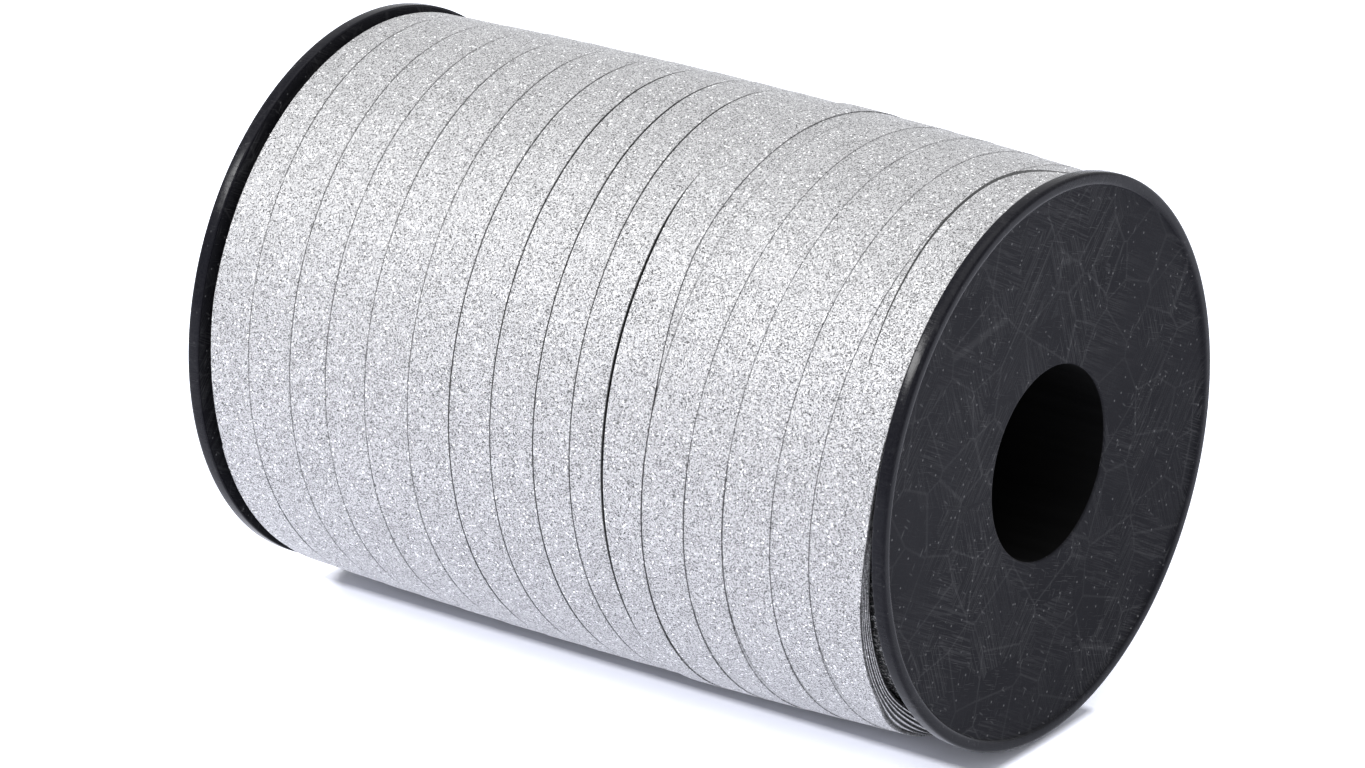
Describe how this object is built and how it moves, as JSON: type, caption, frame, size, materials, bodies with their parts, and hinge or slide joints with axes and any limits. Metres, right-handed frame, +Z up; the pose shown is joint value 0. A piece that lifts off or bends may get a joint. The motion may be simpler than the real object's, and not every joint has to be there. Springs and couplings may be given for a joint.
{
  "type": "ribbon spool",
  "caption": "Flanged two-part plastic spool wound with flat glitter gift ribbon, with an open bore through the hub and a free ribbon end that peels up.",
  "frame": {"origin": "middle of the spool's axis, halfway between the outer faces of the two flanges", "axes": "+X along the spool's axis towards the right flange, +Z up with the spool lying on its side, -Y towards the front"},
  "size_m": [0.124, 0.0872, 0.0871],
  "materials": {
    "black_plastic": "moulded, satin, finely scratched",
    "silver_ribbon": "silver glitter",
    "clear_tape": "clear film"
  },
  "bodies": {
    "spool": {"right_spool_half": "black_plastic", "left_spool_half": "black_plastic", "ribbon_pack": "silver_ribbon", "ribbon_outer_layer": "silver_ribbon", "ribbon_return_layer": "silver_ribbon", "hub_tape": "clear_tape"},
    "ribbon_end": {"ribbon_tail": "silver_ribbon", "end_tape": "clear_tape"}
  },
  "joints": [
    {"name": "tail_peel", "type": "hinge", "parent": "spool", "child": "ribbon_end", "pos_m": [0.0145, 0.04272, -0.00819], "axis": [-1, 0, 0], "range_deg": [0, 90]}
  ]
}
